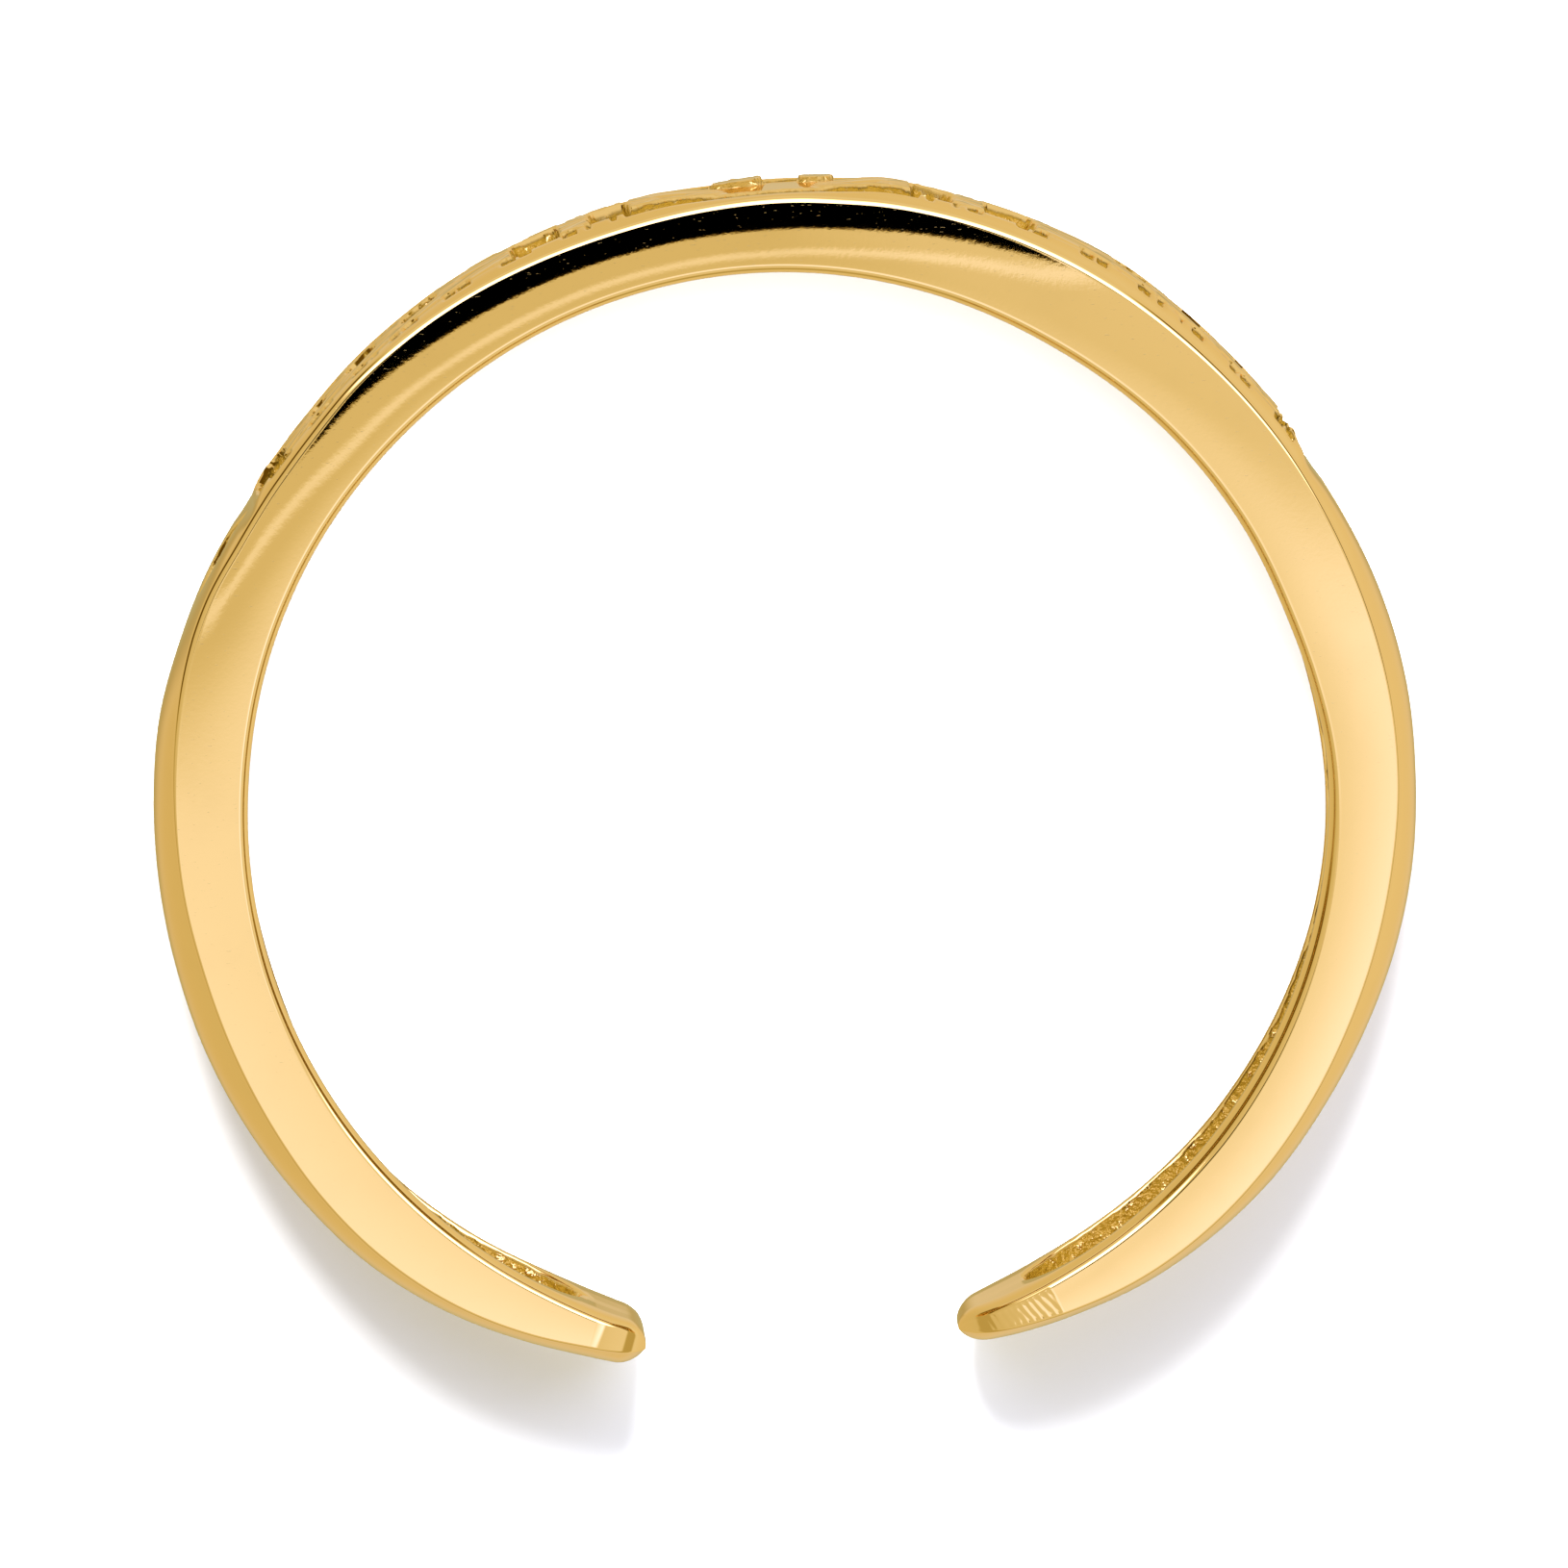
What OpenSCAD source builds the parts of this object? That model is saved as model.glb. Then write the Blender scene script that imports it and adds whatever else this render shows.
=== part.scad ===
// Open toe ring, cast in one piece: a domed band with a hollow back, two rounded
// ends that can be sprung apart, and a leaf garland in relief across the top.
// The ring lies on its side. The axis of the toe hole is Z, the garland faces +Y and
// the gap faces -Y. Lengths are millimetres. Angles are degrees from the top of the
// ring, where the garland has its middle, and they grow on both sides of it.

/* [Fit] */
// Diameter of the toe hole
inner_d = 14.7; // [13.5:0.1:17]
// Clear width between the two ends
gap_w = 4.1; // [4.1:0.1:5.5]

/* [Band] */
// Width of the band along the toe
band_w = 3.0; // [2.8:0.1:4]
// Thickness of the band at its crest, halfway down the sides
band_t = 1.25; // [1.15:0.05:1.5]
// Thickness near the ends
end_t = 0.66; // [0.6:0.02:0.8]
// Angle at which the band starts to thin towards its ends
thin_from = 134; // [125:1:140]
// How far the middle of the outer face stands above its edges
dome_rise = 0.28; // [0.2:0.02:0.34]
// Bevel on the outer edges
edge_bevel = 0.08; // [0.05:0.01:0.12]
// Bevel on the inner edges, where the toe slides in
lip_bevel = 0.09; // [0.05:0.01:0.12]

/* [Ends] */
// Angle at which the toe hole starts to widen towards the ends
flare_from = 150; // [146:1:154]
// How far the toe side of each end stands back from the toe hole's circle
end_flare = 0.04; // [0.02:0.01:0.08]
// How much larger than half its thickness the rounding of an end is, seen along the toe
nose_over = 0.07; // [0.04:0.01:0.2]
// How much larger than half the band the rounding of an end is, seen from outside
tongue_over = 0.1; // [0.06:0.02:0.3]

/* [Hollow back] */
// Width of the smooth rim on each side of the hollow
rim_w = 0.42; // [0.36:0.02:0.6]
// Depth of the hollow from the toe hole
hollow_depth = 0.5; // [0.3:0.05:0.55]
// Thinnest metal left over the hollow where the band thins
hollow_wall = 0.36; // [0.3:0.02:0.45]
// Solid length between the hollow and each end
solid_end = 1.1; // [0.9:0.1:2]

/* [Relief] */
// Angle on each side of the top at which the garland ends
garland_end = 58.7; // [50:0.1:62]
// How far the garland's plateau lies under the crest of the plain band
plateau_drop = 0.15; // [0.1:0.01:0.18]
// Depth of the ground under the plateau
relief_depth = 0.2; // [0.1:0.01:0.22]
// Width of the flat strip between the ground and the domed edge of the band
rail_flat = 0.08; // [0.05:0.01:0.2]
// Width of the garland's stem
stem_w = 0.3; // [0.2:0.05:0.5]
// Radius of the boss in the middle
boss_r = 0.95; // [0.7:0.05:1]
// Angle by which the boss is off the top
boss_angle = 1; // [-2:0.5:2]
// Height of the two buds above the plateau
bud_rise = 0.08; // [0.04:0.01:0.1]
// Depth of the step where the garland meets the plain band
step_drop = 0.06; // [0.04:0.01:0.1]
// Depth of the leaf-shaped pocket past that step
tail_depth = 0.12; // [0.08:0.01:0.16]

/* [Hidden] */
$fn = 96;

GOLD = [0.86, 0.68, 0.33];
// Leaves of one half of the garland: the root on the stem and the tip at the rail, as
// shares of the garland's half length, and the width as a share of the ground's half width
ROOT = 0;
TIP = 1;
BREADTH = 2;
LEAVES = [
    [0.05, 0.227, 0.95],
    [0.204, 0.349, 0.5],
    [0.366, 0.571, 1.1],
    [0.545, 0.698, 0.6],
    [0.673, 0.813, 0.55],
    [0.784, 0.906, 0.6],
];
// Leaves run a little past the stem, by this share of their length, and into the rail,
// by this share of its width
leaf_reach = 1.08;
leaf_in_rail = 0.25;
// Buds on the boss: angle of the middle, width and length as shares of the boss radius
MIDDLE = 0;
ACROSS = 1;
ALONG = 2;
BUDS = [[-2.3, 0.8, 1.7], [5, 0.6, 1.4]];
// The last leaf lies along the stem: its share of the garland's half length, and its
// width as a multiple of the stem's
end_leaf_share = 0.16;
end_leaf_w_share = 2.4;
// The ground stops this many degrees short of the garland's end
end_rim = 1;
// The pocket past the step: angle past the garland's end, length and width as shares of
// the ground's half width
tail_angle = 5.8;
tail_l_share = 1.3;
tail_w_share = 0.62;
// Rounding at the ends of the hollow, as a multiple of its half width
hollow_end_share = 1.15;
// The thickness near the ends is measured this many degrees before the nose
end_before_nose = 4;

cut = 1;
inner_r = inner_d / 2;
crest_r = inner_r + band_t;
half_w = band_w / 2;
dome_r = (half_w * half_w + dome_rise * dome_rise) / (2 * dome_rise);
plateau_r = crest_r - plateau_drop;
// The plateau meets the dome this far from the middle of the band
plateau_half = sqrt(dome_r * dome_r - (dome_r - plateau_drop) * (dome_r - plateau_drop));
ground_half = plateau_half - rail_flat;
rail_w = half_w - ground_half;
ground_r = plateau_r - relief_depth;
bud_r = plateau_r + bud_rise;
half_garland_l = garland_end * PI / 180 * plateau_r;
// The garland's outlines reach past what is cut off round them
past_crest_r = crest_r + 2 * cut;
step_r = plateau_r - step_drop;
// The nose of each end, and cutters that run past the middle of the gap from it
nose_r = end_t / 2 + nose_over;
tongue_r = half_w + tongue_over;
nose_mid_r = inner_r + end_t / 2;
nose_angle = 180 - asin((gap_w / 2) / nose_mid_r);
past_nose = 0.75 * gap_w;
// The circle that thins the ends runs through the crest where the thinning starts and
// through the end's thickness shortly before the nose
end_r = inner_r + end_t;
thin_shift = shift_through(crest_r, thin_from, end_r, nose_angle - end_before_nose);
thin_r = radius_through(thin_shift, crest_r, thin_from);
// The circle that widens the toe hole at the ends
flare_shift = shift_through(inner_r, flare_from, inner_r + end_flare, nose_angle);
flare_r = radius_through(flare_shift, inner_r, flare_from);
hollow_half = half_w - rim_w;
hollow_end_r = hollow_half * hollow_end_share;
hollow_end_angle = nose_angle - degrees(solid_end, nose_mid_r);

function degrees(length, radius) = length / radius * 180 / PI;

// A circle through two points, given by radius and angle: how far its centre is above
// the axis, and its radius
function shift_through(r_a, angle_a, r_b, angle_b) =
    (r_a * r_a - r_b * r_b) / (2 * (r_a * cos(angle_a) - r_b * cos(angle_b)));
function radius_through(shift, r, angle) = sqrt(r * r + shift * shift - 2 * r * shift * cos(angle));

// Local frame on the ring: X runs along the band, Y points outwards, Z along the toe
module around(angle, radius = 0) {
    translate([0, 0, half_w]) rotate([0, 0, -angle]) translate([0, radius, 0]) children();
}

// An outline in X and Z, pushed outwards from the axis
module outwards(from_r, to_r) {
    translate([0, to_r, 0]) rotate([90, 0, 0]) linear_extrude(to_r - from_r) children();
}

// A stretch of a turned ring, the same on both sides of the top
module turned(to_angle) {
    translate([0, 0, half_w]) rotate([0, 0, 90 - to_angle])
        rotate_extrude(angle = 2 * to_angle) children();
}

module ring_profile(from_r, to_r, half) {
    translate([from_r, -half]) square([to_r - from_r, 2 * half]);
}

// Disc with a domed rim and bevelled edges
module domed_disc(radius) {
    rotate_extrude() difference() {
        intersection() {
            translate([radius - dome_r, 0]) circle(dome_r);
            ring_profile(0, radius + cut, half_w);
        }
        for (side = [-1, 1])
            translate([radius - dome_rise, side * half_w]) rotate(45)
                square(edge_bevel * sqrt(2), center = true);
    }
}

module toe_hole() {
    translate([0, 0, -cut]) cylinder(r = inner_r, h = band_w + 2 * cut);
    translate([0, flare_shift, -2 * cut]) cylinder(r = flare_r, h = band_w + 4 * cut);
    for (side = [0, 1])
        translate([0, 0, side * band_w]) mirror([0, 0, side])
            translate([0, 0, -lip_bevel])
                cylinder(r1 = inner_r + 2 * lip_bevel, r2 = inner_r, h = 2 * lip_bevel);
}

// Everything past the nose of one end, and the corners that round it both ways
module end_trim() {
    around(nose_angle, nose_mid_r) {
        difference() {
            translate([-nose_r, -band_t - cut, -half_w - cut])
                cube([nose_r + past_nose, 2 * (band_t + cut), band_w + 2 * cut]);
            translate([-nose_r, 0, -half_w - 2 * cut]) cylinder(r = nose_r, h = band_w + 4 * cut);
        }
        difference() {
            translate([-tongue_r, -band_t - cut, -half_w - cut])
                cube([tongue_r + past_nose, 2 * (band_t + cut), band_w + 2 * cut]);
            translate([-tongue_r, -band_t - 2 * cut, 0]) rotate([-90, 0, 0])
                cylinder(r = tongue_r, h = 2 * band_t + 4 * cut);
        }
    }
}

// The hollow in the back, rounded at both ends and shallower where the band thins
module hollow() {
    bottom_r = inner_r + hollow_depth;
    round_angle = hollow_end_angle - degrees(hollow_end_r, nose_mid_r);
    intersection() {
        turned(hollow_end_angle + end_before_nose) ring_profile(inner_r - cut, bottom_r, hollow_half);
        union() {
            turned(round_angle) ring_profile(inner_r - 2 * cut, bottom_r + cut, half_w);
            for (side = [-1, 1])
                around(side * round_angle)
                    outwards(inner_r - 2 * cut, bottom_r + cut) circle(hollow_end_r);
        }
        translate([0, thin_shift, -cut]) cylinder(r = thin_r - hollow_wall, h = band_w + 2 * cut);
    }
}

// Pointed leaf, its length along X
module leaf_outline(length, breadth) {
    bow = (length * length + breadth * breadth) / (4 * breadth);
    intersection() {
        translate([0, bow - breadth / 2]) circle(bow);
        translate([0, breadth / 2 - bow]) circle(bow);
    }
}

// One leaf from the stem to the rail, on the side of the stem given by up
module garland_leaf(leaf, up) {
    run = (leaf[TIP] - leaf[ROOT]) * half_garland_l;
    rise = up * (ground_half + rail_w * leaf_in_rail);
    around(garland_end * (leaf[ROOT] + leaf[TIP]) / 2) outwards(ground_r - cut, past_crest_r)
        translate([0, rise / 2]) rotate(atan2(rise, run))
            leaf_outline(norm([run, rise]) * leaf_reach, leaf[BREADTH] * ground_half);
}

module half_garland() {
    for (leaf = LEAVES) for (up = [-1, 1]) garland_leaf(leaf, up);
    end_leaf_l = half_garland_l * end_leaf_share;
    around(garland_end - degrees(end_leaf_l, plateau_r) / 2) outwards(ground_r - cut, past_crest_r)
        leaf_outline(end_leaf_l * leaf_reach, stem_w * end_leaf_w_share);
}

module buds() {
    for (bud = BUDS)
        around(bud[MIDDLE]) outwards(ground_r - cut, past_crest_r)
            rotate(90) leaf_outline(bud[ALONG] * boss_r, bud[ACROSS] * boss_r);
}

// All that stands out of the ground
module garland() {
    turned(garland_end) ring_profile(ground_r - cut, past_crest_r, stem_w / 2);
    half_garland();
    mirror([1, 0, 0]) half_garland();
    around(boss_angle) outwards(ground_r - cut, past_crest_r) circle(boss_r);
    buds();
}

// What is cut off over the plateau, all but the buds. It runs on over the step, which is
// lower.
module over_plateau() {
    difference() {
        turned(garland_end + end_rim) ring_profile(plateau_r, crest_r + cut, half_w + cut);
        intersection() {
            buds();
            translate([0, 0, -cut]) cylinder(r = bud_r, h = band_w + 2 * cut);
        }
    }
}

// What is cut out over the ground, between the rails and round the garland
module over_ground() {
    difference() {
        turned(garland_end - end_rim) ring_profile(ground_r, crest_r + cut, ground_half);
        garland();
    }
}

// The flat step past one end of the garland, with its leaf-shaped pocket
module tail_cut() {
    reach = sqrt(crest_r * crest_r - step_r * step_r) + cut;
    around(garland_end, step_r)
        translate([0, 0, -half_w - cut]) cube([reach, band_t, band_w + 2 * cut]);
    around(garland_end + tail_angle) outwards(step_r - tail_depth, crest_r)
        leaf_outline(tail_l_share * ground_half, tail_w_share * ground_half);
}

module band() {
    color(GOLD) difference() {
        intersection() {
            translate([0, 0, half_w]) domed_disc(crest_r);
            translate([0, thin_shift, half_w]) domed_disc(thin_r);
        }
        toe_hole();
        hollow();
        end_trim();
        mirror([1, 0, 0]) end_trim();
        over_plateau();
        over_ground();
        tail_cut();
        mirror([1, 0, 0]) tail_cut();
    }
}

band();
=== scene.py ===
"""Open toe ring in cast gold: the visible band, a plain studio and the camera.

The band is a flat grid that is rolled up: each row of it becomes one section of the band,
set by functions of the angle round the ring. Angles are degrees from the top of the ring,
positive to the right. Lengths in the shape functions are millimetres, and everything in
Blender is metres.
"""

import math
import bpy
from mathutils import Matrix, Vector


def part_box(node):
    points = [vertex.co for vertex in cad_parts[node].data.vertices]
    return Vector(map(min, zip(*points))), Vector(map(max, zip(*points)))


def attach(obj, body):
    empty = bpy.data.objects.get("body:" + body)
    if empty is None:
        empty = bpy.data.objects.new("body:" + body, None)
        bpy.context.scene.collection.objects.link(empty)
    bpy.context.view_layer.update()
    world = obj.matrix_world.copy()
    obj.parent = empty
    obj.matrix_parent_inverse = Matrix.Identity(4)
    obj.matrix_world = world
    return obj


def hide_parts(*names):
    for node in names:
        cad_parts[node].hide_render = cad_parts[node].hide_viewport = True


bl_info = {
    "name": "Open toe ring",
    "version": (1, 0, 0),
    "blender": (4, 5, 0),
    "location": "View3D > Sidebar > Toe ring",
    "description": "Cast gold toe ring with a leaf garland, on a pale studio floor",
    "category": "Add Mesh",
}

import bmesh
import bpy
import numpy as np
from bpy.props import FloatProperty, FloatVectorProperty, PointerProperty
from mathutils import Matrix, Vector, noise

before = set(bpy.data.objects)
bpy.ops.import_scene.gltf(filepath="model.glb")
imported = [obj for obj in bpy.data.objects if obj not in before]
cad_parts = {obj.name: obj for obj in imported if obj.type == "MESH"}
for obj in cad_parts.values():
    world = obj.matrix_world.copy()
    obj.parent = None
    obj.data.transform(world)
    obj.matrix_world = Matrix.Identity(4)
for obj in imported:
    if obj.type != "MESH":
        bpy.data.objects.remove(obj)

MM = 0.001
RIGHT_ANGLE = math.pi / 2
# The two edges of the rolled-up grid are joined where they are this close, in metres
SEAM_GAP = 1e-8

# The band's box in the frame, and the radius of the toe hole
BOX_LOW, BOX_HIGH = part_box("band")
HALF_W = (BOX_HIGH[2] - BOX_LOW[2]) / 2 / MM
INNER_R = 7.35

# Angle from the top, radius of the crest, radius where the side face ends
BAND = (
    (-164, 8.03, 7.71), (-158, 8.105, 7.82), (-152, 8.235, 7.975), (-144, 8.41, 8.135),
    (-136, 8.533, 8.218), (-128, 8.577, 8.236), (-120, 8.606, 8.217), (-112, 8.62, 8.208),
    (-104, 8.607, 8.215), (-96, 8.6, 8.26), (-88, 8.594, 8.288), (-80, 8.58, 8.317),
    (-74, 8.51, 8.325), (-68, 8.435, 8.297), (-62, 8.355, 8.205), (-59, 8.298, 8.182),
    (-57.8, 8.33, 8.176), (-56.5, 8.345, 8.17), (-54, 8.325, 8.157), (-50, 8.305, 8.153),
    (-43, 8.31, 8.186), (-36, 8.325, 8.184), (-29, 8.35, 8.17), (-22, 8.35, 8.147),
    (-14, 8.37, 8.14), (-9, 8.37, 8.16), (-5.5, 8.335, 8.178), (2, 8.36, 8.22),
    (7, 8.42, 8.235), (11, 8.51, 8.262), (17, 8.505, 8.283), (22, 8.525, 8.294),
    (28, 8.555, 8.301), (33, 8.575, 8.297), (42, 8.543, 8.283), (50, 8.536, 8.288),
    (56, 8.543, 8.291), (57.2, 8.53, 8.29), (58.8, 8.468, 8.287), (62, 8.49, 8.281),
    (68, 8.54, 8.278), (75, 8.585, 8.283), (82, 8.605, 8.29), (90, 8.594, 8.275),
    (98, 8.596, 8.228), (106, 8.57, 8.194), (114, 8.525, 8.167), (122, 8.482, 8.157),
    (130, 8.452, 8.14), (138, 8.365, 8.098), (146, 8.245, 8.005), (152, 8.115, 7.885),
    (158, 8.0, 7.76), (164, 7.87, 7.64),
)
# Rounding of the outer edges: its reach outwards by angle, and what share of that it
# reaches along the toe
ROUNDING = (
    (-164, 0.035), (-92, 0.035), (-82, 0.06), (-72, 0.1), (-50, 0.095), (-20, 0.085), (4, 0.12),
    (20, 0.1), (34, 0.09), (48, 0.06), (70, 0.035), (164, 0.035),
)
ROUNDING_ALONG = 0.9
# How far out from its circle the toe hole's edge stands, by angle: at the side seen from
# above, and at the side that lies on the floor
HOLE_NEAR = (
    (-106, 0), (-96, -0.015), (-84, -0.033), (-72, -0.035), (-60, -0.05), (-40, -0.088),
    (-20, -0.08), (0, -0.078), (18, -0.11), (32, -0.142), (46, -0.115), (60, -0.1),
    (72, -0.1), (78, -0.06), (86, 0), (100, 0),
)
HOLE_FAR = (
    (-164, 0), (-154, 0), (-142, 0.09), (-132, 0.155), (-124, 0.155), (-110, 0.05), (-96, 0),
    (84, 0), (92, 0.06), (128, 0.045), (146, 0), (164, 0),
)
# The toe hole widens by this much at both ends, between two angles
END_FLARE, FLARE_FROM, FLARE_TO = 0.04, 150, 165
# The crest is a low dome on the plain parts and nearly flat under the garland, and changes
# from one to the other between two angles
CREST_POWER, GARLAND_POWER = 2, 5
FLAT_UNTIL, DOMED_FROM = 58, 74

# The garland: angle of its middle, angle from there to each end, and the rise at the end
GARLAND_MIDDLE = 0.4
GARLAND_END = 58.9
GARLAND_RISE = 0.7
# Leaves of the garland: angle of the root on the middle line, angle of the tip, breadth
LEAVES = (
    (4, 13.5, 0.72), (10, 20, 0.7), (16.5, 27, 0.8), (23.5, 33.5, 0.8), (30, 40, 0.72),
    (36.5, 46, 0.68), (43, 52, 0.64), (49, 57, 0.6),
)
LEAF_REACH = 0.88
LEAF_HEIGHT = 0.028
# Openings along the garland: first angle, last angle, how much the sides draw in towards
# the far and near end, and where those ends lie across the band
OPENINGS = (
    (7.8, 9.4, 0.3, 0.0, 0.24), (13.0, 17.3, 0.5, -0.5, 0.98), (20.0, 25.2, 0.4, -0.48, 1.02),
    (33.1, 37.3, 0.6, -0.56, 0.2), (40.5, 44.4, 0.6, -0.58, 0.12), (47.3, 49.5, 0.4, -0.5, 0.08),
    (53.2, 58.3, 0.6, -0.74, 0.86),
)
OPENING_DEPTH = 0.19
OPENING_WALL = 0.05
# Row of short cuts between the leaf tips and the rail: where they start and end across
CUTS_FROM, CUTS_TO = 0.72, 1.16
CUT_DEPTH = 0.08
CUT_WALL = 0.04
# Near the middle they run together into a wavy groove: the angle where it ends, its fade,
# how much farther out it starts on the near side and on the far side, and the wave's height
WAVY_UNTIL, WAVY_RISE = 13.6, 0.5
WAVY_NEAR, WAVY_FAR = -0.3, 0.12
WAVE = 0.03
# The two buds on the middle: angle, place across the band, half width, half length, rise,
# slant of the top. The power says how square their corners are.
BUDS = ((-2.4, -0.85, 0.38, 0.36, 0.048, 0.02), (5.0, -0.85, 0.25, 0.36, 0.048, 0.0))
BUD_POWER = 3.5
# The single leaf cut in past each end of the garland: angle, half length, half width, depth
TAIL = (64.8, 0.66, 0.46, 0.12)
# Radius at which angles of the garland are turned into lengths
ARC_R = 8.4

# Slope of the side faces: where they start at the toe hole, and how much they gain outwards
SIDE_LEAN = 0.0045
SIDE_CROWN = 0.0244
# Rounding of the inner edge: its reach outwards by angle, and its reach along the toe
LIP_IN = ((-164, 0.115), (80, 0.115), (98, 0.15), (130, 0.16), (150, 0.13), (164, 0.115))
LIP_DEEP = 0.25

# Left and right tip: angle, length of the bevel before it, how steep the bevel starts,
# how it gains, and the share of the width that is left
TIPS = ((-163.6, 0.64, 0.155, 4, 0.5), (164.0, 1.41, 0.16, 5, 0.25))
# Radius at which lengths near the tips are measured, and the rounding of the tips
TIP_R = 7.68
TIP_ROUND = 0.35

# The hollow back: angle where it ends, half width, depth, the least metal over it, and the
# lengths at its end over which it narrows, rises and turns from polished to cast
HOLLOW_END = 156.0
HOLLOW_HALF_W = 1.08
HOLLOW_DEPTH = 0.55
HOLLOW_METAL = 0.36
HOLLOW_NARROWS, HOLLOW_RISES, HOLLOW_TURNS = 1.24, 0.25, 0.08
# Radius at which those lengths are measured, and the square of the least share of its width
HOLLOW_R = 7.6
HOLLOW_LEAST = 0.04
# How much its walls lean in, the share of their depth over which they turn from polished to
# cast, and how much deeper its floor is in the middle
WALL_DRAFT = 0.1
WALL_POLISHED = 0.16
FLOOR_CROWN = 0.12

# Lumps of the cast skin, as size, seed and height: in the hollow and in the openings
HOLLOW_SKIN = ((0.3, 3.1, 0.05), (0.14, 7.7, 0.06))
OPENING_SKIN = ((0.15, 11.3, 0.04), (0.08, 4.4, 0.03))
# Pits at the left tip: their depth, and how far they reach from the tip
PIT_DEPTH, PITTED = 0.02, 0.5
# Height of the slow wave that polishing leaves in the faces
FACE_WAVE = 0.0012
# File marks on the right end: degrees between two, depth, and degrees of slant a millimetre
FILE_PITCH = 0.7
FILE_DEPTH = 0.011
FILE_SLANT = 2.5

# Zones of the section, from the middle of the outer face round to the middle of the hollow,
# and for those in between the points along each, as shares of it
ZONES = ("outer", "edge", "side", "lip", "rim", "wall", "floor")
ZONE_POINTS = (
    ("edge", (0.2, 0.4, 0.6, 0.78, 0.9, 0.96, 1)),
    ("side", (0.025, 0.25, 0.5, 0.75, 0.975)),
    ("lip", (0, 0.12, 0.25, 0.5, 1)),
    ("rim", (0.5,)),
    ("wall", (0, 0.04, 0.16, 0.4, 1)),
)
# Angles where the spacing of the sections changes, and how many sections each part has
DENSE_UNTIL, FILED_FROM = 72, 152
LEFT_SECTIONS, TOP_SECTIONS, RIGHT_SECTIONS, FILED_SECTIONS = 104, 520, 84, 62
TIP_SECTIONS = 13

# The camera: degrees that it leans to the right and towards the top from straight over the
# ring, and degrees that it is turned
LEAN_RIGHT, LEAN_UP, TURNED = -1.3, 5.8, 2
SENSOR = 36
# Width of the photo and place of the ring's middle in it, in pixels
PHOTO_SIZE = 1630
RING_AT = (816, 828.3)
# Direction, as x and y, that the flat part of the side face mirrors to the camera
FLAT_SHOWS = (0.0227, -0.101)
# The key light: where it comes from, and its breadth in degrees. The lamp over the toe
# hole: its place, its cone in degrees, and how soft its edge and its shadow are.
KEY_AT = (-0.06, 0.8, 1)
KEY_ANGLE = 20
SPOT_AT = (0, 0, 0.3)
SPOT_ANGLE = 2.79
SPOT_BLEND, SPOT_RADIUS = 0.05, 0.002


def step_up(low, high, value):
    """0 below low, 1 above high, and a smooth rise between"""
    share = np.clip((value - low) / (high - low), 0, 1)
    return share * share * (3 - 2 * share)


def arc(degrees, radius=ARC_R):
    """Length of the arc that an angle spans"""
    return np.radians(degrees) * radius


def smooth(theta, table, column=1):
    """Smooth curve through one column of a table, read at each angle"""
    rows = np.array(table, dtype=float)
    at, values = rows[:, 0], rows[:, column]
    slopes = np.gradient(values, at)
    first = np.clip(np.searchsorted(at, theta) - 1, 0, len(at) - 2)
    step = at[first + 1] - at[first]
    t = np.clip((theta - at[first]) / step, 0, 1)
    rise = t * t * (3 - 2 * t)
    bend = t * (1 - t) * step * ((1 - t) * slopes[first] - t * slopes[first + 1])
    return values[first] + (values[first + 1] - values[first]) * rise + bend


def lumps(points, size, seed):
    """Smooth noise between -1 and 1 at each point, with lumps of the given size"""
    shift = Vector((seed, seed * 1.7, -seed))
    return np.array([noise.noise(Vector(point) / size + shift) for point in points])


def skin(points, layers):
    """Lumps of several sizes on top of each other"""
    return sum(height * lumps(points, size, seed) for size, seed, height in layers)


def leaf_shape(u, w, root, tip, breadth):
    """One leaf, from 0 on the ground to 1 on its back, with a sunk vein"""
    reach = arc(tip) - arc(root)
    length = math.hypot(reach, LEAF_REACH)
    along = ((u - arc(root)) * reach + w * LEAF_REACH) / length**2
    across = ((u - arc(root)) * LEAF_REACH - w * reach) / length
    half = breadth / 2 * np.clip(1 - np.abs(2 * along - 1) ** 2.4, 0, 1)
    inside = step_up(0, 0.07, half - np.abs(across))
    vein = np.exp(-((across / 0.035) ** 2)) * (1 - step_up(0.75, 0.95, along))
    back = 1 - (np.abs(across) / (breadth / 2)) ** 2
    return inside * (0.7 + 0.3 * back - 0.55 * vein)


def leaf_cover(u, w):
    """How much of a leaf there is at each point, from 0 on the ground to 1 on its back"""
    leaf = np.zeros_like(u)
    for root, tip, breadth in LEAVES:
        leaf = np.maximum(leaf, leaf_shape(u, w, root, tip, breadth))
    return leaf


def opening_cover(angle, v):
    """1 in the garland's openings and 0 outside, with steep walls between"""
    cut = np.zeros_like(angle)
    for first, last, draw_in, far_end, near_end in OPENINGS:
        off = v - (far_end + near_end) / 2
        reach = (near_end - far_end) / 2
        draw = draw_in * (off / reach) ** 2
        room = np.minimum(arc(angle - first - draw), arc(last - draw - angle))
        cut = np.maximum(cut, step_up(0, OPENING_WALL, np.minimum(room, reach - np.abs(off))))
    return cut


def groove_cover(angle, u, v):
    """1 in the short cuts and the wavy groove beside the garland, and 0 outside"""
    wavy = 1 - step_up(WAVY_UNTIL - WAVY_RISE, WAVY_UNTIL, angle)
    # Two waves that don't fit each other give dashes of uneven length
    dashes = step_up(0.1, 0.5, np.sin(u * 7.3) + 0.8 * np.sin(u * 20.1 + 1.3))
    start = CUTS_FROM + np.where(v > 0, WAVY_NEAR, WAVY_FAR) * wavy + WAVE * np.sin(u * 21)
    groove = step_up(0, CUT_WALL, np.minimum(np.abs(v) - start, CUTS_TO - np.abs(v)))
    return groove * np.maximum(wavy * 0.8, dashes)


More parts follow.
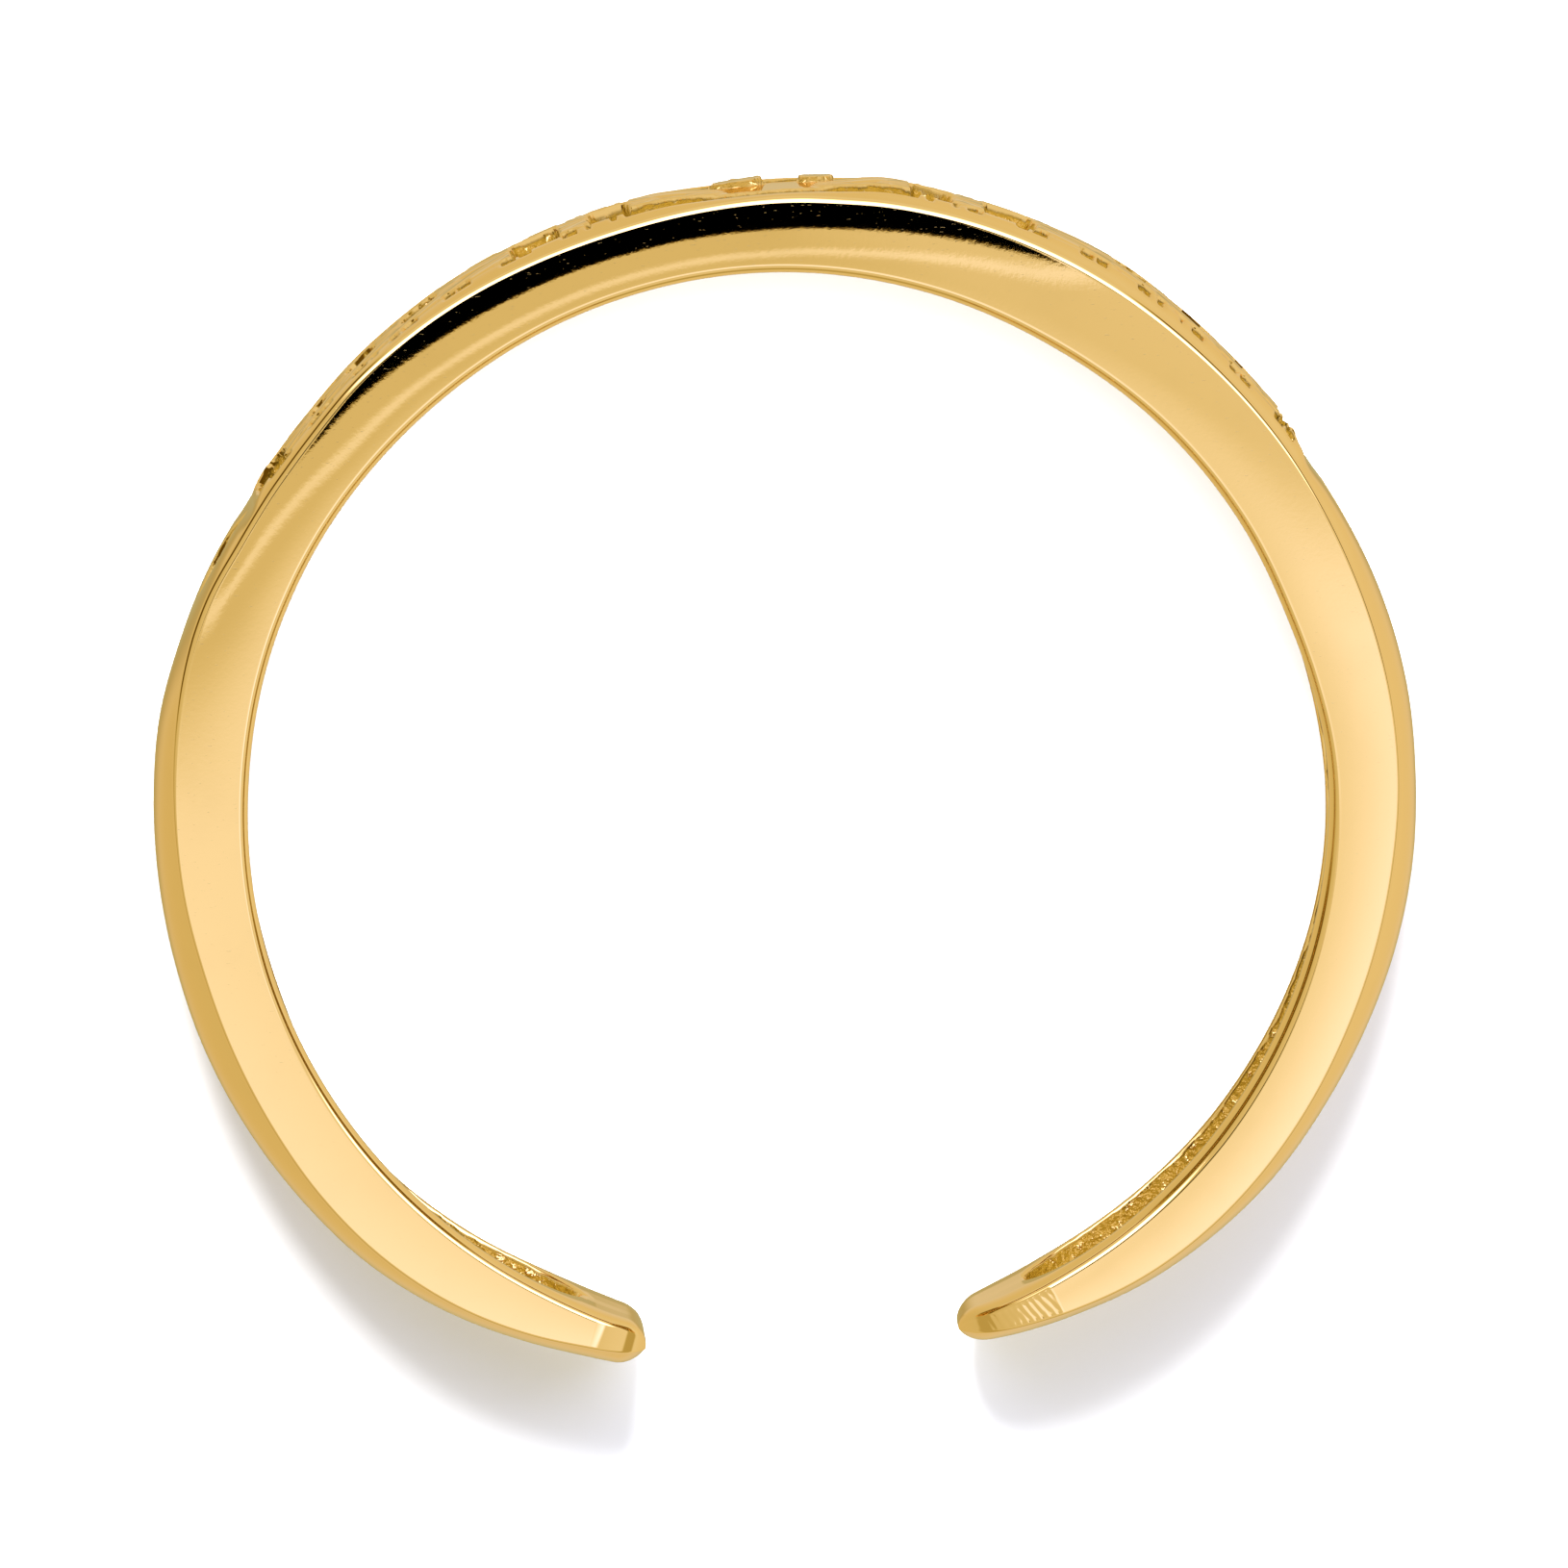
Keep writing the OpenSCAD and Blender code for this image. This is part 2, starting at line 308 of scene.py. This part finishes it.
def relief(theta, v):
    """Height of the outer face over the plain dome, and how sunk each point is"""
    angle = np.abs(theta - GARLAND_MIDDLE)
    u = arc(angle)
    w = np.abs(v)
    leaf = leaf_cover(u, w)
    within = 1 - step_up(GARLAND_END - GARLAND_RISE, GARLAND_END, angle)
    # The ground between the leaves ends short of the rail
    plateau = within * (1 - step_up(CUTS_TO - 0.26, CUTS_TO - 0.18, w))
    cut = opening_cover(angle, v)
    height = LEAF_HEIGHT * (leaf - 1) * plateau * (1 - cut) - OPENING_DEPTH * cut
    groove = groove_cover(angle, u, v) * within * (1 - cut)
    height -= CUT_DEPTH * groove
    # How sunk each point is: the gold is darkened there with patina and painted shade
    sunk = np.maximum(step_up(0, 0.3, cut), np.maximum(groove, 0.1 * (1 - leaf) * plateau))
    for bud_angle, bud_v, half_u, half_v, rise, slant in BUDS:
        along = arc(theta - bud_angle) / half_u
        across = np.abs((v - bud_v) / half_v)
        out = (np.abs(along) ** BUD_POWER + across**BUD_POWER) ** (1 / BUD_POWER)
        on_bud = 1 - step_up(0.88, 1.02, out)
        height = height * (1 - on_bud) + (rise + slant * along) * on_bud
        sunk = sunk * (1 - on_bud)
        # A dark rim round each bud: patina with painted shade at its foot
        sunk = np.maximum(sunk, 0.6 * step_up(0.8, 0.9, out) * (1 - step_up(1.0, 1.08, out)))
    tail_angle, half_length, half_width, depth = TAIL
    out = np.abs(arc(angle - tail_angle)) / half_length
    tail = np.where(out < 1, step_up(0, 0.1, half_width * (1 - out**2) - w), 0)
    return height - depth * tail, np.maximum(sunk, tail)


def section_points():
    """The band's section, once round: zone, share along the zone, side of the band"""
    outer = np.concatenate([np.linspace(0, 0.74, 26), np.linspace(0.8, 1, 5)])
    outer = np.concatenate([-outer[:0:-1], outer])
    floor = np.linspace(1, -1, 15)[1:-1]
    half = [(zone, share, 1) for zone, shares in ZONE_POINTS for share in shares]
    return (
        [("outer", share, math.copysign(1, share)) for share in outer]
        + half
        + [("floor", share, 1) for share in floor]
        + [(zone, share, -1) for zone, share, _ in reversed(half)]
    )


def stations():
    """Angles of the sections, closer together over the garland and at the ends"""
    turn = np.cos(np.linspace(0.03, 1, TIP_SECTIONS) * RIGHT_ANGLE)
    near_tip = np.degrees(TIP_ROUND * (1 - turn) / TIP_R)
    left_tip, right_tip = TIPS[0][0], TIPS[1][0]
    left = np.linspace(left_tip + near_tip[-1], -DENSE_UNTIL, LEFT_SECTIONS)
    top = np.linspace(-DENSE_UNTIL, DENSE_UNTIL, TOP_SECTIONS)
    right = np.linspace(DENSE_UNTIL, FILED_FROM, RIGHT_SECTIONS)
    filed = np.linspace(FILED_FROM, right_tip - near_tip[-1], FILED_SECTIONS)
    return np.concatenate(
        [
            left_tip + near_tip[:-1], left[:-1], top[:-1], right[:-1], filed[:-1],
            right_tip - near_tip[::-1],
        ]
    )


def tip_narrowing(theta):
    """Share of the width left towards each tip, and distance from the tip"""
    share = np.ones_like(theta)
    away = np.zeros_like(theta)
    for tip, bevel, start, power, left in TIPS:
        here = theta * tip > 0
        away[here] = np.maximum(arc(np.abs(tip - theta[here]), TIP_R), 0)
        x = np.clip(1 - away[here] / bevel, 0, 1)
        share[here] = 1 - start * x - (1 - start - left) * x**power
    return share, away


def hollow_back(angle, crest):
    """Half width of the hollow back, its depth, and 1 where its metal is left as cast"""
    to_end = arc(HOLLOW_END - angle, HOLLOW_R)
    closing = 1 - np.clip(to_end / HOLLOW_NARROWS, 0, 1)
    half = HOLLOW_HALF_W * np.sqrt(np.clip(1 - closing**2, HOLLOW_LEAST, 1))
    depth = np.minimum(HOLLOW_DEPTH, crest - INNER_R - HOLLOW_METAL)
    return half, depth * step_up(0, HOLLOW_RISES, to_end), step_up(0, HOLLOW_TURNS, to_end)


def cast_skin(on, theta, points, sunk, depth, from_tip):
    """How far the casting's roughness moves each point outwards"""
    rough = np.zeros_like(theta)
    m = (on["floor"] | on["wall"]) & (depth > 0.05)
    rough[m] = sunk[m] * skin(points[m], HOLLOW_SKIN)
    m = on["outer"] & (sunk > 0.2)
    rough[m] = sunk[m] * skin(points[m], OPENING_SKIN)
    m = on["outer"] | on["edge"] | on["side"] | on["lip"]
    m = m & (from_tip < PITTED) & (theta < 0)
    rough[m] += PIT_DEPTH * np.minimum(lumps(points[m], size=0.09, seed=5.1) + 0.2, 0)
    return rough


def place_band(theta, zone, share, side):
    """Radius, height off the middle of the band, and how sunk each point is"""
    on = {name: zone == number for number, name in enumerate(ZONES)}
    angle = np.abs(theta)
    crest = smooth(theta, BAND, 1)
    edge = smooth(theta, BAND, 2)
    end_flare = END_FLARE * step_up(FLARE_FROM, FLARE_TO, angle)
    near = INNER_R + smooth(theta, HOLE_NEAR) + end_flare
    far = INNER_R + smooth(theta, HOLE_FAR) + end_flare
    hole = np.where(side > 0, near, far)
    lip_in = np.interp(theta, *zip(*LIP_IN))
    lip_r = hole + lip_in
    lip_v = HALF_W - LIP_DEEP
    face = edge - lip_r
    face_v = HALF_W - face * (SIDE_LEAN + SIDE_CROWN)
    rounding = np.interp(theta, *zip(*ROUNDING))
    shoulder_r = edge + rounding
    shoulder_v = face_v - ROUNDING_ALONG * rounding
    half, depth, as_cast = hollow_back(angle, crest)

    r = np.zeros_like(theta)
    v = np.zeros_like(theta)
    sunk = np.zeros_like(theta)
    m = on["outer"]
    v[m] = share[m] * shoulder_v[m]
    height, sunk[m] = relief(theta[m], v[m])
    flat = 1 - step_up(FLAT_UNTIL, DOMED_FROM, angle[m])
    power = CREST_POWER + (GARLAND_POWER - CREST_POWER) * flat
    r[m] = crest[m] - (crest[m] - shoulder_r[m]) * np.abs(share[m]) ** power + height
    m = on["edge"]
    turn = share[m] * RIGHT_ANGLE
    r[m] = edge[m] + rounding[m] * np.cos(turn)
    v[m] = side[m] * (shoulder_v[m] + (face_v[m] - shoulder_v[m]) * np.sin(turn))
    m = on["side"]
    r[m] = edge[m] + (lip_r[m] - edge[m]) * share[m]
    out = 1 - share[m]
    v[m] = side[m] * (HALF_W - face[m] * (SIDE_LEAN * out + SIDE_CROWN * out**2))
    m = on["lip"]
    turn = share[m] * RIGHT_ANGLE
    r[m] = lip_r[m] - lip_in[m] * np.sin(turn)
    v[m] = side[m] * (HALF_W - LIP_DEEP + LIP_DEEP * np.cos(turn))
    m = on["rim"]
    r[m] = hole[m]
    v[m] = side[m] * (lip_v + (half[m] - lip_v) * share[m])
    m = on["wall"]
    r[m] = hole[m] + depth[m] * share[m]
    v[m] = side[m] * (half[m] - WALL_DRAFT * share[m] * half[m])
    sunk[m] = as_cast[m] * np.clip(share[m] / WALL_POLISHED, 0, 1)
    m = on["floor"]
    across = (1 + share[m]) / 2
    r[m] = far[m] + (near[m] - far[m]) * across
    r[m] += depth[m] * (1 + FLOOR_CROWN * (1 - share[m] ** 2))
    v[m] = share[m] * half[m] * (1 - WALL_DRAFT)
    sunk[m] = as_cast[m]

    at = np.radians(theta)
    points = np.stack([r * np.sin(at), r * np.cos(at), v], axis=1)
    width_left, from_tip = tip_narrowing(theta)
    r += cast_skin(on, theta, points, sunk, depth, from_tip)
    m = on["edge"] | on["side"] | on["lip"]
    v[m] -= side[m] * (FACE_WAVE + FACE_WAVE * lumps(points[m], size=1.7, seed=5.5))
    m = on["side"] & (theta > 0) & (width_left < 1)
    turns = (theta[m] + FILE_SLANT * (r[m] - TIP_R)) / FILE_PITCH
    turns += 0.4 * lumps(points[m], size=0.25, seed=2.2)
    v[m] -= side[m] * FILE_DEPTH * np.clip(np.sin(2 * math.pi * turns), 0, 1) ** 2

    thin = np.clip(from_tip / TIP_ROUND, 0, 1)
    thin = np.sqrt(1 - (1 - thin) ** 2)
    middle = (INNER_R + end_flare + crest) / 2
    return middle + (r - middle) * thin, v * width_left, sunk


def finished_mesh(bm, name):
    """Turns a bmesh into a smooth-shaded object at the origin"""
    bmesh.ops.recalc_face_normals(bm, faces=bm.faces)
    mesh = bpy.data.meshes.new(name)
    bm.to_mesh(mesh)
    bm.free()
    mesh.shade_smooth()
    piece = bpy.data.objects.new(name, mesh)
    bpy.context.scene.collection.objects.link(piece)
    return piece


class Value:
    """A shader socket. An expression on it adds the Math nodes that it needs."""

    def __init__(self, tree, socket):
        self.tree = tree
        self.socket = socket

    def math(self, operation, *values):
        """Adds one Math node on the values given and returns its result"""
        made = self.tree.nodes.new("ShaderNodeMath")
        made.operation = operation
        for slot, value in zip(made.inputs, values):
            put(self.tree, slot, value)
        return Value(self.tree, made.outputs[0])

    def __add__(self, other):
        return self.math("ADD", self, other)

    def __sub__(self, other):
        return self.math("SUBTRACT", self, other)

    def __rsub__(self, other):
        return self.math("SUBTRACT", other, self)

    def __mul__(self, other):
        return self.math("MULTIPLY", self, other)

    def __truediv__(self, other):
        return self.math("DIVIDE", self, other)

    def __pow__(self, other):
        return self.math("POWER", self, other)

    def at_least(self, other):
        return self.math("MAXIMUM", self, other)

    def at_most(self, other):
        return self.math("MINIMUM", self, other)

    def clamp(self):
        return self.at_least(0.0).at_most(1.0)

    def root(self):
        return self.math("SQRT", self)

    __radd__ = __add__
    __rmul__ = __mul__


def put(tree, slot, value):
    """Links a socket, or sets its value"""
    if isinstance(value, Value):
        tree.links.new(value.socket, slot)
    else:
        slot.default_value = value


class Shader:
    """Makes the nodes of one node tree"""

    def __init__(self, tree):
        self.tree = tree
        tree.nodes.clear()

    def node(self, kind, settings=None, output=0, **sockets):
        """Adds one node. Its sockets go by name, or by number after an underscore."""
        made = self.tree.nodes.new(kind)
        for name, value in (settings or {}).items():
            setattr(made, name, value)
        for name, value in sockets.items():
            key = int(name[1:]) if name[0] == "_" else name.replace("_", " ")
            put(self.tree, made.inputs[key], value)
        return Value(self.tree, made.outputs[output]) if made.outputs else None

    def outputs(self, value):
        """All outputs of the node that a value comes from, by name"""
        return {out.name: Value(self.tree, out) for out in value.socket.node.outputs}

    def noise(self, place, scale, detail, roughness):
        return self.node(
            "ShaderNodeTexNoise", Vector=place, Scale=scale, Detail=detail, Roughness=roughness,
        )

    def ramp_up(self, value, low, high, start=0.0, end=1.0):
        """A smooth ramp from start where the value is low to end where it is high"""
        return self.node(
            "ShaderNodeMapRange", {"interpolation_type": "SMOOTHSTEP"},
            Value=value, From_Min=low, From_Max=high, To_Min=start, To_Max=end,
        )

    def ramp_down(self, value, low, high):
        return self.ramp_up(value, low, high, start=1.0, end=0.0)


def gold_material(colours):
    """Polished gold with hairlines and cloudy wear, rough and dark brown where it is sunk: patina
    with painted shade in the relief's hollows
    """
    material = bpy.data.materials.new("polished_gold")
    material.use_nodes = True
    shader = Shader(material.node_tree)
    place = shader.outputs(shader.node("ShaderNodeTexCoord"))["Object"]
    sunk = shader.node("ShaderNodeAttribute", {"attribute_name": "sunk"})
    sunk = shader.outputs(sunk)["Fac"]
    cloud = shader.noise(place, scale=900.0, detail=3.0, roughness=0.6)
    grain = shader.noise(place, scale=14000.0, detail=3.0, roughness=0.7)
    cast = shader.noise(place, scale=8500.0, detail=2.0, roughness=0.6)
    # The dark brown in the sunk places is patina and painted shade, and it is worn off the high
    # lumps in them
    deep = shader.ramp_up(sunk, 0.3, 0.8)
    worn = shader.ramp_up(cast, 0.57, 0.66)
    stain_and_shade = deep * (1.0 - 0.85 * worn)
    patina_and_shade = (0.5 * stain_and_shade + (cloud - 0.5) * 0.12).clamp()
    colour = shader.node(
        "ShaderNodeMix", {"data_type": "RGBA"}, output=2,
        _0=patina_and_shade, _6=tuple(colours.gold) + (1.0,), _7=tuple(colours.patina_and_shade) + (1.0,),
    )
    # Hairlines are the tops of a noise that is drawn out aslant
    stretched = shader.node(
        "ShaderNodeMapping", Vector=place, Scale=(1.0, 7.0, 1.0), Rotation=(0.0, 0.0, 0.6),
    )
    scratch = shader.noise(stretched, scale=9000.0, detail=2.0, roughness=0.6)
    lines = shader.ramp_up(scratch, 0.71, 0.74)
    rough = 0.008 + 0.16 * deep + 0.012 * cloud + 0.08 * lines
    height = grain * 0.2 + lines * -0.3
    bump = shader.node("ShaderNodeBump", Height=height, Strength=0.1, Distance=0.000004)
    bump = shader.node(
        "ShaderNodeBump", Height=cast * deep, Strength=0.9, Distance=0.00008, Normal=bump,
    )
    bright = shader.node(
        "ShaderNodeBsdfPrincipled", Base_Color=colour, Metallic=1.0, Roughness=rough, Normal=bump,
        Specular_Tint=(1.0, 0.85, 0.6, 1.0),
    )
    # The dull brown coat in the sunk places is the same patina and painted shade
    dull = shader.node(
        "ShaderNodeBsdfPrincipled", Base_Color=tuple(colours.patina_and_shade) + (1.0,), Roughness=0.9,
        Specular_IOR_Level=0.0, Normal=bump,
    )
    surface = shader.node("ShaderNodeMixShader", _0=0.85 * stain_and_shade, _1=bright, _2=dull)
    shader.node("ShaderNodeOutputMaterial", Surface=surface)
    return material


def plain_material(name, colour, roughness):
    material = bpy.data.materials.new(name)
    material.use_nodes = True
    shader = Shader(material.node_tree)
    surface = shader.node(
        "ShaderNodeBsdfPrincipled", Base_Color=tuple(colour) + (1.0,), Roughness=roughness,
    )
    shader.node("ShaderNodeOutputMaterial", Surface=surface)
    return material


def light_over_ring(shader, across, rise, rho):
    """What the side of the ring mirrors, and where the dark card hides it

    A streak of light runs along the card, and the light grows towards the bottom. Across
    and rise count to the right and up from what the flat part of the side face shows.
    """
    rightward = across.at_least(0.0)
    leftward = (0.0 - across).at_least(0.0)
    card = shader.ramp_up(rise - 0.36 * rightward + 0.08 * leftward, 0.08, 0.083)
    card = card * shader.ramp_down(rho, 0.19, 0.23)
    lift = shader.ramp_up(leftward, 0.035, 0.07) * shader.ramp_down(leftward, 0.086, 0.1)
    band = rise - 0.95 * rightward - 0.006 * lift
    streak = shader.ramp_up(band, 0.035, 0.0425) * shader.ramp_down(band, 0.0435, 0.051)
    low_right = shader.ramp_down(rise, 0.0, 0.04) * shader.ramp_up(across, 0.0, 0.03)
    level = 0.7 + 0.07 * shader.ramp_up(across, 0.0, 0.02)
    level = level + 0.28 * shader.ramp_down(rise - 0.3 * rightward, -0.003, 0.036)
    level = level - 0.2 * low_right + (0.4 + 1.8 * low_right) * rightward
    level = level - 1.2 * rise.at_most(0.0)
    return level + 0.22 * streak, card


def soft_box(shader, x, toward_top, rho):
    """1 where the bright box over the top is, and 0 elsewhere"""
    box = shader.ramp_up(rho, 0.2, 0.23) * shader.ramp_down(rho, 0.75, 0.92)
    return box * shader.ramp_up(0.986 * toward_top + 0.165 * (x / rho), 0.46, 0.56)


def floor_belt(shader, z, toward_top):
    """1 round the floor's edge, and its light: dark at both sides of the top, else grey"""
    belt = shader.ramp_up(z, -0.45, -0.3) * shader.ramp_down(z, 0.15, 0.35)
    dark = shader.ramp_up(toward_top, 0.0, 0.15) * shader.ramp_down(toward_top, 0.68, 0.76)
    return belt, 0.5 + 0.3 * shader.ramp_up(toward_top, 0.7, 0.78) - 0.38 * dark


def studio_world():
    """Soft light from all round, with a dark card over the ring beside the camera"""
    world = bpy.data.worlds.new("studio")
    bpy.context.scene.world = world
    world.use_nodes = True
    shader = Shader(world.node_tree)
    way = shader.outputs(shader.node("ShaderNodeTexCoord"))["Generated"]
    parts = shader.outputs(shader.node("ShaderNodeSeparateXYZ", Vector=way))
    x, y, z = parts["X"], parts["Y"], parts["Z"]
    rho = (x * x + y * y).root()
    toward_top = y / rho
    level, card = light_over_ring(shader, x - FLAT_SHOWS[0], y - FLAT_SHOWS[1], rho)
    # Farther out, grey walls
    far_out = shader.ramp_up(rho, 0.26, 0.42)
    above = level * (1 - far_out) + (0.75 + 0.1 * x) * far_out
    outside = shader.ramp_up(rho, 0.14, 0.42).at_least(shader.ramp_up(y, 0.02, 0.12))
    below = 0.5 + 0.24 * outside + 0.1 * x
    is_above = shader.ramp_up(z, -0.03, 0.03)
    light = (above * is_above + below * (1 - is_above)) * (1 - card * is_above)
    belt, belt_light = floor_belt(shader, z, toward_top)
    light = light * (1 - belt) + belt_light * belt
    # Dim parts of the studio are warmer than bright ones
    colour = shader.node(
        "ShaderNodeCombineColor", Red=light, Green=1.03 * light**1.25, Blue=1.2 * light**2.6,
    )
    box = soft_box(shader, x, toward_top, rho) * is_above * (1 - belt) * (1 - card)
    colour = shader.node(
        "ShaderNodeMix", {"data_type": "RGBA"}, output=2,
        _0=box, _6=colour, _7=(3.0, 3.1, 3.9, 1.0),
    )
    surface = shader.node("ShaderNodeBackground", Color=colour, Strength=1.0)
    shader.node("ShaderNodeOutputWorld", Surface=surface)


def photo_camera(scene, sizes):
    """Camera where the photo was taken from, with the ring where it is in the photo"""
    lean_x, lean_y = math.radians(LEAN_RIGHT), math.radians(LEAN_UP)
    away = Vector((math.sin(lean_x), math.sin(lean_y), 0))
    away.z = math.sqrt(1 - away.length_squared)
    up = Vector((math.sin(math.radians(TURNED)), math.cos(math.radians(TURNED)), 0))
    right = up.cross(away).normalized()
    up = away.cross(right)
    data = bpy.data.cameras.new("camera")
    data.sensor_width = SENSOR
    data.lens = SENSOR * sizes.camera_distance / sizes.frame_width
    data.clip_start = 0.01
    data.shift_x = (PHOTO_SIZE / 2 - RING_AT[0]) / PHOTO_SIZE
    data.shift_y = (RING_AT[1] - PHOTO_SIZE / 2) / PHOTO_SIZE
    camera = bpy.data.objects.new("camera", data)
    place = Vector((0, 0, HALF_W * MM)) + away * sizes.camera_distance
    turn = Matrix((right, up, away)).transposed()
    camera.matrix_world = Matrix.Translation(place) @ turn.to_4x4()
    scene.collection.objects.link(camera)
    scene.camera = camera


class BandSizes(bpy.types.PropertyGroup):
    floor_size: FloatProperty(
        name="Floor", description="Side of the square studio floor", default=1.2, unit="LENGTH"
    )
    frame_width: FloatProperty(
        name="Picture width", description="Width that the picture takes in at the ring",
        default=0.02134, unit="LENGTH",
    )
    camera_distance: FloatProperty(
        name="Camera distance", description="From the middle of the ring to the camera",
        default=0.48, unit="LENGTH",
    )
    key_strength: FloatProperty(
        name="Key light", description="Strength of the light from the top side", default=6.0
    )
    fill_strength: FloatProperty(
        name="Fill light", description="Power of the lamp over the toe hole", default=5.0
    )


class BandColours(bpy.types.PropertyGroup):
    gold: FloatVectorProperty(
        name="Gold", description="Colour of the polished metal", subtype="COLOR",
        default=(1.0, 0.68, 0.27),
    )
    # Patina and painted shade: the dark brown laid into the relief's hollows and the hollow back
    patina_and_shade: FloatVectorProperty(
        name="Patina", description="Colour of the metal deep in the relief", subtype="COLOR",
        default=(0.2, 0.108, 0.008),
    )
    floor: FloatVectorProperty(
        name="Floor", description="Colour of the studio floor", subtype="COLOR",
        default=(0.82, 0.83, 0.85),
    )


class TOERING_OT_band(bpy.types.Operator):
    """Make the cast band with its garland, hollow back and rounded ends"""

    bl_idname = "toering.band"
    bl_label = "Band"

    def execute(self, context):
        points = section_points()
        angles = stations()
        bm = bmesh.new()
        bmesh.ops.create_grid(bm, x_segments=len(points), y_segments=len(angles) - 1, size=1)
        flat = np.array([vert.co for vert in bm.verts])
        round_band = np.rint((flat[:, 0] + 1) / 2 * len(points)).astype(int) % len(points)
        theta = angles[np.rint((flat[:, 1] + 1) / 2 * (len(angles) - 1)).astype(int)]
        zone = np.array([ZONES.index(point[0]) for point in points])[round_band]
        share = np.array([point[1] for point in points])[round_band]
        side = np.array([point[2] for point in points])[round_band]
        r, v, sunk = place_band(theta, zone, share, side)
        # Each point's sunk share, by which the gold is darkened with patina and painted shade
        sunk_of = bm.verts.layers.float.new("sunk")
        for vert, at, radius, off, deep in zip(bm.verts, np.radians(theta), r, v, sunk):
            vert.co = (radius * math.sin(at) * MM, radius * math.cos(at) * MM, (HALF_W + off) * MM)
            vert[sunk_of] = deep
        seam = [vert for vert, first in zip(bm.verts, round_band == 0) if first]
        bmesh.ops.remove_doubles(bm, verts=seam, dist=SEAM_GAP)
        bmesh.ops.holes_fill(bm, edges=[edge for edge in bm.edges if edge.is_boundary], sides=0)
        band = finished_mesh(bm, "gold_band")
        band.data.materials.append(gold_material(context.scene.toering_colours))
        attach(band, "root")
        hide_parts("band")
        return {"FINISHED"}


class TOERING_OT_stage(bpy.types.Operator):
    """Make the studio floor, the lights and the camera"""

    bl_idname = "toering.stage"
    bl_label = "Stage and camera"

    def hang(self, context, data, place):
        """Hang a lamp that points at the middle of the floor. The metal doesn't mirror it."""
        lamp = bpy.data.objects.new(data.name, data)
        lamp.location = place
        lamp.rotation_euler = place.to_track_quat("Z", "Y").to_euler()
        lamp.visible_glossy = False
        context.scene.collection.objects.link(lamp)

    def execute(self, context):
        sizes = context.scene.toering_sizes
        colours = context.scene.toering_colours
        bm = bmesh.new()
        bmesh.ops.create_grid(bm, x_segments=1, y_segments=1, size=sizes.floor_size / 2)
        floor = finished_mesh(bm, "studio_floor")
        floor.data.materials.append(plain_material("pale_floor", colours.floor, 0.8))
        floor.visible_glossy = False
        studio_world()
        key = bpy.data.lights.new("key_from_top", "SUN")
        key.energy = sizes.key_strength
        key.angle = math.radians(KEY_ANGLE)
        self.hang(context, key, Vector(KEY_AT))
        fill = bpy.data.lights.new("fill_in_toe_hole", "SPOT")
        fill.energy = sizes.fill_strength
        fill.spot_size = math.radians(SPOT_ANGLE)
        fill.spot_blend = SPOT_BLEND
        fill.shadow_soft_size = SPOT_RADIUS
        self.hang(context, fill, Vector(SPOT_AT))
        photo_camera(context.scene, sizes)
        context.scene.view_settings.view_transform = "Standard"
        return {"FINISHED"}


class TOERING_PT_panel(bpy.types.Panel):
    """Sizes, colours and pieces of the toe ring"""

    bl_idname = "TOERING_PT_panel"
    bl_label = "Toe ring"
    bl_space_type = "VIEW_3D"
    bl_region_type = "UI"
    bl_category = "Toe ring"

    def draw(self, context):
        for group in (context.scene.toering_sizes, context.scene.toering_colours):
            for name in group.bl_rna.properties.keys():
                if name not in ("rna_type", "name"):
                    self.layout.prop(group, name)
        for operator in OPERATORS:
            self.layout.operator(operator.bl_idname)


OPERATORS = (TOERING_OT_band, TOERING_OT_stage)
CLASSES = (BandSizes, BandColours) + OPERATORS + (TOERING_PT_panel,)


def register():
    for item in CLASSES:
        bpy.utils.register_class(item)
    bpy.types.Scene.toering_sizes = PointerProperty(type=BandSizes)
    bpy.types.Scene.toering_colours = PointerProperty(type=BandColours)


def unregister():
    del bpy.types.Scene.toering_sizes
    del bpy.types.Scene.toering_colours
    for item in reversed(CLASSES):
        bpy.utils.unregister_class(item)


def main():
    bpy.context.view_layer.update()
    register()
    bpy.ops.toering.band()
    bpy.ops.toering.stage()
    bpy.context.view_layer.update()


if __name__ == "__main__":
    main()
